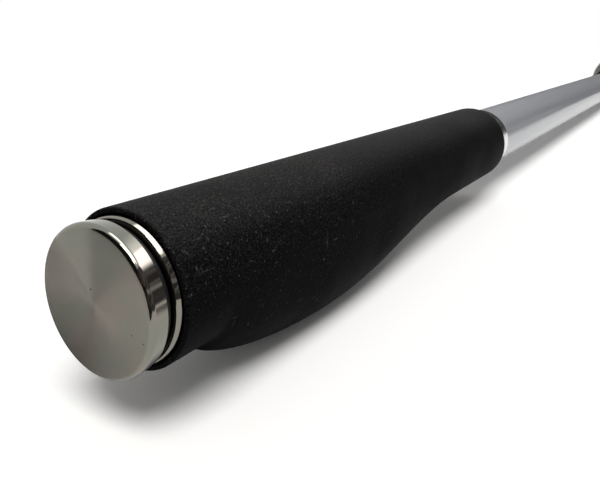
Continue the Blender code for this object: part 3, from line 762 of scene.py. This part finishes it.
# %% A recipe for polished and satin rings
def ring_metal(name, colour, roughness, grime, mark_depth):
    """Turned metal whose tool marks run round the rod."""
    metal = Finish(name, "gunmetal", colour, roughness, 1.0)
    patches = metal.fade(metal.clouds(4.0, 3.0), 0.45, 0.75)
    metal.set("Roughness", roughness + patches * grime)
    metal.colour(patches * 0.5, colour, tuple(0.86 * part for part in colour))
    marks = metal.lines(metal.along("X"), 0.09, 1.0)
    nicks = metal.specks(3.0, 0.12, 0.2)
    metal.bump(marks - nicks, mark_depth)
    return metal


polished_metal = ring_metal("polished_gunmetal", GUNMETAL, 0.06, 0.1, 0.0006)
insert_outline = [
    (6.15, 11.2),
    (6.15, 14.45, 0.25),
    (7.6, 14.88, 0.1),
    (7.6, 12.0),
    (31.0, 12.0, 0.4),
    (31.0, 11.2, 0.2),
]
insert = lathe(insert_outline, 256)
finish_piece("insert_sleeve", insert, polished_metal, "butt", "threaded_insert")

# %% [markdown]
# ## The grip
# The grip is a moulded rubber tube, round on top and full underneath, where it fills the
# palm. The swell rises in a short shoulder behind the hand and runs out slowly in front. It
# could be sculpted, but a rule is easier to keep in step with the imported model: each ring is
# lowered on its underside by the depth of the swell at that place.


# %% Mould the grip
GRIP_INSIDE = 15.2
SHOULDER_ROUNDNESS = 1.86


def swell_depth(x):
    """How far the swell stands out at a place along the grip, in millimetres."""
    start, peak, end, depth = 21.0, 69.0, 162.0, 10.2
    if x <= start or x >= end:
        return 0.0
    if x < peak:
        left = (peak - x) / (peak - start)
        return depth * (1.0 - left**SHOULDER_ROUNDNESS) ** (1.0 / SHOULDER_ROUNDNESS)
    return depth * 0.5 * (1.0 + math.cos(math.pi * (x - peak) / (end - peak)))


def grip_skin(x, angle, radius):
    """Leaves the bore alone and lowers the underside of the outer skin."""
    if radius < GRIP_INSIDE:
        return radius
    return radius + swell_depth(x) * max(0.0, -math.cos(angle)) ** 2


grip_wire = drawn([
    (7.35, 15.1),
    (7.35, 16.1, 0.55),
    (210.35, 16.05, 1.5),
    (210.35, 13.8),
    (8.2, 13.8),
    (8.2, 15.1),
])
outside = [
    edge
    for edge in grip_wire.edges
    if edge.calc_length() > 100 * MM and min(vert.co.z for vert in edge.verts) > 15 * MM
]
bmesh.ops.subdivide_edges(grip_wire, edges=outside, cuts=150)
grip_shape = shaped(spun(grip_wire, 180), grip_skin)
print("the grip's skin has", len(grip_shape.verts), "points")

# %% [markdown]
# The rubber is almost black and has a fine grain like suede. Handling has left pale dust and
# short hair scratches on it, most of them towards the butt. Dust is a scatter of small dots.
# A scratch is a noise that is drawn out along one direction and cut off high, so that only
# its thin crests show. The base colour is also painted darker on the underside and paler on
# top, which is painted shade and painted light.

# %% Grained rubber with dust and scratches
rubber = Finish("grained_rubber", "black_rubber", BLACK, 0.62, Specular_IOR_Level=0.015)
worn = 1.0 - rubber.fade(rubber.along("X"), 20.0, 150.0)
patch = rubber.fade(rubber.clouds(22.0, 3.0), 0.35, 0.7)
# Painted shade: this share darkens the grain's colour where the surface faces down, and it also
# thins the dust there.
side = 0.25 + rubber.fade(rubber.upward(), -0.5, 0.6) * 0.75
dense = (0.25 + worn * 0.75) * side
fine_dust = rubber.specks(0.8, 0.15, 0.6) * dense
dust = rubber.specks(1.8, 0.19, 0.5) * dense
flecks = rubber.specks(7.0, 0.3, 0.4) * patch * worn
along = rubber.stretched((0.09, 1.0, 0.6), (0.0, 0.0, 0.5))
across = rubber.stretched((0.7, 0.5, 0.06), (0.4, 0.0, 0.0))
scratches = rubber.fade(rubber.clouds(0.5, at=along), 0.66, 0.76)
scratches = scratches + rubber.fade(rubber.clouds(0.6, at=across), 0.67, 0.77)
pale = fine_dust * 0.32 + dust * 0.5 + flecks * 0.8 + scratches * worn * patch * 0.26
suede = rubber.fade(rubber.clouds(0.42, 3.0), 0.4, 0.68) * (0.65 + patch * 0.5)
# Painted light: the colour is paler on the surfaces that face up.
painted_top_light = rubber.fade(rubber.upward(), 0.45, 1.0) * (0.55 + patch * 0.45)
painted_top_light = painted_top_light * (0.35 + suede)
grain_with_painted_light = rubber.blend(suede * side, (0.0019, 0.0019, 0.0022), (0.0125, 0.0121, 0.0121))
grain_with_painted_light = rubber.blend(painted_top_light, grain_with_painted_light, (0.031, 0.0295, 0.0287))
rubber.colour(pale, grain_with_painted_light, (0.2, 0.19, 0.18))
rubber.set("Roughness", 0.56 + patch * 0.12 + pale * 0.2)
grain = rubber.clouds(0.32, 3.0) + rubber.clouds(1.1) * 0.8
rubber.bump(grain, 0.05)
finish_piece("moulded_grip", grip_shape, rubber, "butt", "butt_grip")

# %% [markdown]
# ## The ring in front of the grip and the butt section
# A bright tapered ring covers the step from the grip to the blank. The blank itself is a
# carbon tube, sprayed a cool silver grey and lacquered. The paint holds fine metal flake, so
# it is partly metallic, and the lacquer is the shader's coat, with the faint waviness that
# sprayed lacquer has.

# %% Bright ring
bright_metal = ring_metal("bright_aluminium", (0.62, 0.61, 0.59), 0.14, 0.1, 0.0006)
front_ring_outline = [(210.65, 13.8), (210.65, 15.2, 0.3), (221.65, 14.3, 0.4), (221.65, 13.8)]
finish_piece("grip_ring", lathe(front_ring_outline), bright_metal, "butt", "grip_front_ring")


# %% Silver paint under lacquer
BLANK_GREY = (0.325, 0.335, 0.362)


def silver_paint(name, colour):
    """Sprayed metallic paint with lacquer over it."""
    paint = Finish(name, "grey_blank", colour, 0.36, 0.3, Coat_Weight=0.5, Coat_Roughness=0.06)
    flake = paint.cells(0.12)
    glint = paint.node("ShaderNodeSeparateColor", inputs={0: flake.other("Color")})
    drift = paint.clouds(60.0)
    light, dark = (tuple(share * part for part in colour) for share in (1.1, 0.88))
    paint.colour(glint * 0.7 + drift * 0.3, dark, light)
    paint.set("Roughness", 0.28 + glint * 0.14)
    paint.bump(paint.clouds(2.2, 1.0), 0.004)
    return paint


blank_paint = silver_paint("silver_lacquer", BLANK_GREY)
butt_outline = [(8.1, 12.3), (8.1, 13.5, 0.2), (870.0, 12.9, 0.3), (870.0, 11.15, 0.3)]
finish_piece("butt_blank", lathe(butt_outline), blank_paint, "butt", "butt_section")

# %% Ring that binds the mouth
mouth_outline = [(852.0, 13.21), (852.0, 14.11, 0.4), (870.0, 14.11, 0.4), (870.0, 13.21)]
finish_piece("mouth_band", lathe(mouth_outline), polished_metal, "butt", "mouth_ring")

# %% [markdown]
# ## The reel seat
# The seat is a moulded tube with a coarse thread for the nut, a key along its top that stops
# the sliding hood from turning, and a flat bed for the reel's foot. Foam bushings centre it
# on the blank, and a turned cone covers each end. Separate shapes that run into one another
# are enough here, because a moulding shows no joint between them.

# %% Moulded plastic
seat_plastic = Finish("moulded_plastic", "seat_plastic", (0.02, 0.02, 0.022), 0.42)
bloom = seat_plastic.clouds(12.0, 3.0)
seat_plastic.colour(bloom, (0.014, 0.014, 0.016), (0.028, 0.028, 0.03))
seat_plastic.set("Roughness", 0.34 + bloom * 0.18)
seat_plastic.bump(seat_plastic.clouds(0.28), 0.018)
print("the seat's plastic is mixed")

# %% Mould the seat
seat_tube = lathe([
    (700.0, 14.5, 0.3),
    (700.0, 16.0, 0.4),
    (743.0, 16.0),
    (744.0, 17.0, 0.2),
    (822.0, 17.0, 0.4),
    (822.0, 14.5, 0.3),
])
seat_thread = screw_thread(700.8, 743.4, 15.9, 16.6, 2.0, 96)
seat_key = block((740.0, -6.0, 15.5), (810.0, 6.0, 18.6), 0.5)
seat_bed = block((745.0, -6.5, 15.5), (787.0, 6.5, 19.2), 0.5)
seat_shape = merged(seat_tube, seat_thread, seat_key, seat_bed)
finish_piece("moulded_seat", seat_shape, seat_plastic, "butt", "reel_seat_body")

# %% Turn the cones and the bushings
rear_cone = [(689.7, 13.4), (689.7, 14.2, 0.25), (699.7, 16.4, 0.35), (699.7, 13.4)]
front_cone = [(822.3, 13.4), (822.3, 16.4, 0.35), (832.3, 14.2, 0.25), (832.3, 13.4)]
finish_piece("rear_cone", lathe(rear_cone), polished_metal, "butt", "seat_rear_trim")
finish_piece("front_cone", lathe(front_cone), polished_metal, "butt", "seat_front_trim")
BUSHING_LENGTH = 12.0
for name, node, start in (
    ("rear_bushing", "seat_rear_arbor", 702.0),
    ("front_bushing", "seat_front_arbor", 808.0),
):
    end = start + BUSHING_LENGTH
    bushing = lathe([(start, 13.4), (start, 14.2, 0.3), (end, 14.2, 0.3), (end, 13.4)], 128)
    finish_piece(name, bushing, foam, "butt", node)

# %% [markdown]
# ## The hoods
# Two metal hoods hold the reel's foot. Each is a band round the seat with a crown on top and
# a pocket under the crown. The pocket could be cut out with a Boolean, which leaves a ragged
# mesh whose edges round badly. Here the inside of a spun tube is pushed out to the pocket's
# outline instead. The mesh stays a clean grid, and the edges take a true rounding. Two rings
# of the grid that almost touch make the wall at the pocket's end, and are welded elsewhere.

# %% The hollow inside a hood
HOOD_LENGTH = 24.0
HOOD_BORE, HOOD_RADIUS = 17.35, 19.8
CROWN_RISE = 8.12
CROWN_AT_WALL, CROWN_CLIMB = 0.72, 0.28
CLIMB_SHARE = 0.28
KEYWAY_HALF, KEYWAY_TOP = 7.0, 19.6
POCKET_HALF, POCKET_SHOULDER = 8.5, 21.5
POCKET_WALL = 4.0
POCKET_TOPS = (24.6, 26.0)
RING_STEP = 0.003


def keyway_reach(angle):
    """Distance from the axis to the keyway's outline, along a ray at an angle from +Z."""
    if math.cos(angle) <= 0.0:
        return 0.0
    side = KEYWAY_HALF / max(abs(math.sin(angle)), 1e-6)
    return min(side, KEYWAY_TOP / math.cos(angle))


def pocket_reach(angle, top):
    """Distance from the axis to the pocket's wall or its arched roof, along the same ray."""
    sine, cosine = abs(math.sin(angle)), math.cos(angle)
    if cosine <= 0.0:
        return 0.0
    wall = POCKET_HALF / max(sine, 1e-6)
    if wall * cosine <= POCKET_SHOULDER:
        return wall
    rise = top - POCKET_SHOULDER
    a = (cosine / rise) ** 2 + (sine / POCKET_HALF) ** 2
    b = POCKET_SHOULDER * cosine / rise**2
    c = (POCKET_SHOULDER / rise) ** 2 - 1.0
    return (b + math.sqrt(b * b - a * c)) / a


print("pocket roof at the mouth", round(pocket_reach(0.0, POCKET_TOPS[1]), 2), "mm from the axis")

# %% [markdown]
# A thin rubber liner lies under the pocket's roof and grips the reel's foot. It starts as
# half of a circle of wire, which is drawn out along the rod, pressed to the arch's shape and
# then given its thickness.

# %% Satin metal and soft liner
satin_metal = ring_metal("satin_gunmetal", (0.235, 0.226, 0.214), 0.2, 0.12, 0.002)
liner_rubber = Finish("liner_rubber", "black_rubber", (0.014, 0.014, 0.015), 0.7)
liner_rubber.colour(liner_rubber.clouds(3.0, 3.0), (0.01, 0.01, 0.011), (0.02, 0.02, 0.021))
liner_rubber.bump(liner_rubber.clouds(0.4), 0.03)
print("metal and rubber for the hoods are mixed")


# %% Shape a hood and its liner
LINER_GAP = 0.3


def make_hood(name, body, node, wall_end, toward):
    """A hood whose solid wall is at wall_end and whose mouth opens toward +1 or -1."""
    mouth = wall_end + toward * HOOD_LENGTH
    pocket_end = wall_end + toward * POCKET_WALL

    def share_to_mouth(x, start):
        return max(0.0, (x - start) / (mouth - start))

    def roof_top(x):
        low, high = POCKET_TOPS
        return low + (high - low) * share_to_mouth(x, pocket_end)

    def skin(x, angle, radius):
        if radius > (HOOD_BORE + HOOD_RADIUS) / 2:
            climb = min(1.0, share_to_mouth(x, wall_end) / CLIMB_SHARE)
            rise = CROWN_RISE * (CROWN_AT_WALL + CROWN_CLIMB * math.sin(climb * math.pi / 2))
            return radius + rise * math.cos(angle / 2) ** 6
        reach = max(HOOD_BORE, keyway_reach(angle))
        if (x - pocket_end) * toward > RING_STEP / 3:
            reach = max(reach, pocket_reach(angle, roof_top(x)))
        return reach

    climb = toward * HOOD_LENGTH * CLIMB_SHARE
    outline = [
        (wall_end, HOOD_BORE),
        (wall_end, HOOD_RADIUS, 0.8),
        *((wall_end + climb * step / 6, HOOD_RADIUS) for step in range(1, 7)),
        (mouth, HOOD_RADIUS, 0.8),
        (mouth, HOOD_BORE),
        (pocket_end + toward * RING_STEP, HOOD_BORE),
        (pocket_end, HOOD_BORE),
    ]
    hood = shaped(lathe(outline, 360), skin)
    bmesh.ops.remove_doubles(hood, verts=hood.verts, dist=2 * RING_STEP * MM)
    soften(hood, 0.25, 50.0)
    finish_piece(name, hood, satin_metal, body, node)

    start = pocket_end + toward * LINER_GAP
    end = mouth - toward * 1.0
    liner = bmesh.new()
    bmesh.ops.create_circle(liner, segments=96, radius=1.0)
    bmesh.ops.bisect_plane(
        liner,
        geom=liner.verts[:] + liner.edges[:],
        plane_co=(0, 0, 0),
        plane_no=(0, -1, 0),
        clear_outer=True,
    )
    drawn_out = bmesh.ops.extrude_edge_only(liner, edges=liner.edges[:])
    far = [item for item in drawn_out["geom"] if isinstance(item, bmesh.types.BMVert)]
    for vert in liner.verts:
        x = end if vert in far else start
        across = vert.co.x * (POCKET_HALF - LINER_GAP)
        height = POCKET_SHOULDER + vert.co.y * (roof_top(x) - LINER_GAP - POCKET_SHOULDER)
        vert.co = Vector((x, across, height)) * MM
    bmesh.ops.recalc_face_normals(liner, faces=liner.faces)
    if sum(face.normal.z for face in liner.faces) < 0.0:
        bmesh.ops.reverse_faces(liner, faces=liner.faces)
    bmesh.ops.solidify(liner, geom=liner.faces[:], thickness=0.8 * MM)
    soften(liner, 0.15, 60.0)
    finish_piece(name + "_pad", liner, liner_rubber, body, node + "_liner")


make_hood("sliding_saddle", "sliding_hood", "sliding_hood", 718.4, 1.0)
make_hood("fixed_saddle", "butt", "fixed_hood", 812.0, -1.0)

# %% [markdown]
# ## The nut
# The nut drives the sliding hood along the thread. Fingers hold it by twelve flutes. Its
# collar is plain and slips against the hood.


# %% Flute the nut
COLLAR_RADIUS = 19.0
FLUTES = 12
FLUTE_DEPTH = 1.1


def nut_skin(x, angle, radius):
    if radius < COLLAR_RADIUS + 0.3:
        return radius
    return radius - FLUTE_DEPTH * (0.5 + 0.5 * math.cos(FLUTES * angle))


nut_outline = [
    (703.0, 16.95, 0.3),
    (703.0, 20.8, 0.8),
    (715.0, 20.8, 0.5),
    (715.0, COLLAR_RADIUS),
    (718.0, COLLAR_RADIUS, 0.4),
    (718.0, 16.95, 0.3),
]
nut_shape = shaped(lathe(nut_outline, 360), nut_skin)
finish_piece("fluted_nut", nut_shape, satin_metal, "seat_nut", "seat_nut")

# %% [markdown]
# ## The sliding sections
# Each section is a tapered tube, painted like the butt except for its thick end, which is
# ground to fit the bore of the tube around it and left as bare carbon. That end never comes
# out, but it shows down the bore of the butt when the cap is off.

# %% Painted tubes with ground ends
section_paint = silver_paint("section_lacquer", BLANK_GREY)
ground = 1.0 - section_paint.fade(section_paint.along("X"), 92.0, 94.0)
weave = section_paint.lines(section_paint.along("X"), 0.35)
carbon = section_paint.blend(weave, (0.018, 0.018, 0.02), (0.035, 0.035, 0.037))
painted = Signal(section_paint, section_paint.shader.inputs["Base Color"].links[0].from_socket)
section_paint.colour(ground, painted, carbon)
section_paint.set("Metallic", 0.3 - ground * 0.3)
section_paint.set("Coat Weight", 0.5 - ground * 0.5)

REST_X = 34.0
for name, rear, front, rear_wall, front_wall, end in (
    ("second", 10.9, 9.9, 1.0, 1.15, 896.0),
    ("third", 8.5, 7.5, 0.9, 0.95, 918.0),
    ("fourth", 6.3, 5.3, 0.8, 0.85, 938.0),
):
    outline = [
        (REST_X, rear - rear_wall),
        (REST_X, rear, 0.3),
        (end, front, 0.25),
        (end, front - front_wall, 0.25),
    ]
    body = name + "_section"
    finish_piece(name + "_tube", lathe(outline, 128), section_paint, body, body)

TIP_END = 1000.0
TIP_BORE_END = 613.6
tip_outline = [
    (REST_X, 3.4),
    (REST_X, 4.2, 0.3),
    (TIP_END, 1.5, 0.2),
    (TIP_END, 0.0),
    (TIP_BORE_END, 0.0),
    (TIP_BORE_END, 1.6),
]
finish_piece("tip_blank", lathe(tip_outline, 96), section_paint, "tip_section", "tip_section")

# %% [markdown]
# ## The line guides
# A guide carries the line through a hard ceramic ring. The ring sits in a thin band, which
# two bent wires and a short post hold up from a sleeve on the blank. Six of the seven guides
# differ only in size, so one function makes them, and the tip's guide is put together from
# the same parts. The wires are curves with a round section, made into meshes, and a bead of
# solder covers each place where a side wire leaves its sleeve.

# %% Bright steel and ceramic
guide_steel = Finish("polished_steel", "guide_steel", (0.46, 0.46, 0.47), 0.12, 1.0)
tarnish = guide_steel.fade(guide_steel.clouds(3.0, 3.0), 0.4, 0.75)
guide_steel.colour(tarnish, (0.48, 0.48, 0.49), (0.38, 0.375, 0.37))
guide_steel.set("Roughness", 0.1 + tarnish * 0.14)
guide_steel.bump(guide_steel.clouds(0.5), 0.004)

coat = {"Coat_Weight": 0.4, "Coat_Roughness": 0.04}
ceramic = Finish("glazed_ceramic", "ring_ceramic", (0.055, 0.055, 0.06), 0.1, **coat)
glaze = ceramic.clouds(1.5)
ceramic.colour(glaze, (0.045, 0.045, 0.05), (0.07, 0.07, 0.076))
ceramic.set("Roughness", 0.06 + glaze * 0.08)
ceramic.bump(glaze, 0.002)
print("steel and ceramic are mixed")


# %% Parts that every guide has
GLUE_GAP = 0.3
BAND_WALL = 1.3
BAND_HALF_WIDTH = 1.5
BAND_MIDDLE = GLUE_GAP + BAND_WALL / 2
FOOT_ANGLE = math.radians(40)
SIDE_ANGLE = math.radians(80)


def solder_bead(place, size):
    """A flattened drop of solder, in millimetres."""
    bm = bmesh.new()
    bmesh.ops.create_icosphere(bm, subdivisions=3, radius=size * MM)
    bmesh.ops.scale(bm, verts=bm.verts, vec=(1.5, 1.0, 0.75))
    bmesh.ops.translate(bm, verts=bm.verts, vec=Vector(place) * MM)
    return bm


def ring_band(x, height, ring_radius):
    """The band that holds a ceramic ring."""
    inner = ring_radius + GLUE_GAP
    outer = inner + BAND_WALL
    rear, front = x - BAND_HALF_WIDTH, x + BAND_HALF_WIDTH
    outline = [(rear, inner, 0.2), (rear, outer, 0.45), (front, outer, 0.45), (front, inner, 0.2)]
    return lathe(outline, 128, height)


def side_wires(foot_x, sleeve_bore, x, height, ring_radius, wire):
    """The two wires from the rear of a sleeve to the sides of a band, with their solder."""
    foot_radius = sleeve_bore + 1.3 * wire
    foot_side = foot_radius * math.sin(FOOT_ANGLE)
    foot_height = foot_radius * math.cos(FOOT_ANGLE)
    reach = ring_radius + BAND_MIDDLE
    end_side = reach * math.sin(SIDE_ANGLE)
    end_height = height - reach * math.cos(SIDE_ANGLE)
    shapes = []
    for side in (1.0, -1.0):
        foot = (foot_x, side * foot_side, foot_height)
        bend = (x - 3.0, side * (reach + wire), height - reach)
        end = (x, side * end_side, end_height)
        shapes += [bent_rod(foot, bend, end, wire), solder_bead(foot, 1.35 * wire)]
    return shapes


def join_guide(name, body, node, sleeve, sleeve_bore, post_foot, wires_x, ring, wire):
    """Holds a ring, given as (x, height, radius, bore), over its sleeve on wires and a post."""
    x, height, radius, bore = ring
    foot_x, foot_height = post_foot
    top = height - radius - BAND_MIDDLE
    bend = ((foot_x + x) / 2, 0.0, (foot_height + top) / 2)
    post = bent_rod((foot_x, 0.0, foot_height), bend, (x, 0.0, top), wire)
    wires = side_wires(wires_x, sleeve_bore, x, height, radius, wire)
    frame_shape = merged(sleeve, ring_band(x, height, radius), post, *wires)
    finish_piece(name + "_steel", frame_shape, guide_steel, body, node + "_frame")
    section = oval(x, (radius + bore) / 2, BAND_HALF_WIDTH + 0.05, (radius - bore) / 2, 28, height)
    finish_piece(name + "_insert", spun(section, 128, height), ceramic, body, node + "_ring")


print("a band's middle lies", round(BAND_MIDDLE, 2), "mm outside its ring")


# %% Make the guides on the sections and on the tip
SLEEVE_WALL = 0.8
BAND_CLEARANCE = 1.5


def make_guide(name, body, node, x, sleeve_length, sleeve_bore, radius, bore, wire):
    """A whole guide in millimetres: a sleeve, a post, two side wires, a band and its ring."""
    start = x - sleeve_length / 2
    end = x + sleeve_length / 2
    outer = sleeve_bore + SLEEVE_WALL
    height = outer + BAND_CLEARANCE + radius + GLUE_GAP + BAND_WALL
    sleeve_outline = [
        (start, sleeve_bore, 0.15),
        (start, outer, 0.25),
        (end - 1.6, outer, 0.2),
        (end - 0.8, outer + 0.4, 0.3),
        (end, outer, 0.2),
        (end, sleeve_bore, 0.15),
    ]
    sleeve = lathe(sleeve_outline, 128)
    post_foot = (x, sleeve_bore + SLEEVE_WALL / 2)
    wires_x = start + 2 * wire
    ring = (x, height, radius, bore)
    join_guide(name, body, node, sleeve, sleeve_bore, post_foot, wires_x, ring, wire)


make_guide("guide_two", "second_section", "second_guide", 885.0, 20.0, 10.2, 15.0, 12.4, 1.1)
make_guide("guide_three", "third_section", "third_guide", 908.0, 18.0, 7.8, 10.0, 7.9, 0.9)
make_guide("guide_four", "fourth_section", "fourth_guide", 929.0, 16.0, 5.6, 8.0, 6.2, 0.8)
for number, x, sleeve_bore in ((1, 948.0, 3.6), (2, 961.0, 3.0), (3, 974.0, 2.35)):
    body = f"floating_guide_{number}"
    make_guide(f"tip_guide_{number}", body, body, x, 8.0, sleeve_bore, 6.0, 4.4, 0.7)

# %% [markdown]
# The last guide closes the end of the tip. Its ring stands out in front of a closed tube.

# %% Make the tip guide
TIP_SLEEVE_BORE = 1.85
tip_sleeve_radius = TIP_SLEEVE_BORE + SLEEVE_WALL
tip_tube = [
    (TIP_END - 12.0, TIP_SLEEVE_BORE),
    (TIP_END - 12.0, tip_sleeve_radius, 0.2),
    (TIP_END + 2.0, tip_sleeve_radius, 0.6),
    (TIP_END + 2.0, 0.0),
    (TIP_END + 0.3, 0.0),
    (TIP_END + 0.3, TIP_SLEEVE_BORE),
]
tip_sleeve = lathe(tip_tube, 96)
post_foot = (TIP_END + 1.0, 1.1)
wires_x = TIP_END - 6.0
ring = (TIP_END + 5.0, 7.6, 6.0, 4.4)
join_guide(
    "tip_guide", "tip_section", "tip_top",
    tip_sleeve, TIP_SLEEVE_BORE, post_foot, wires_x, ring, wire=0.7,
)
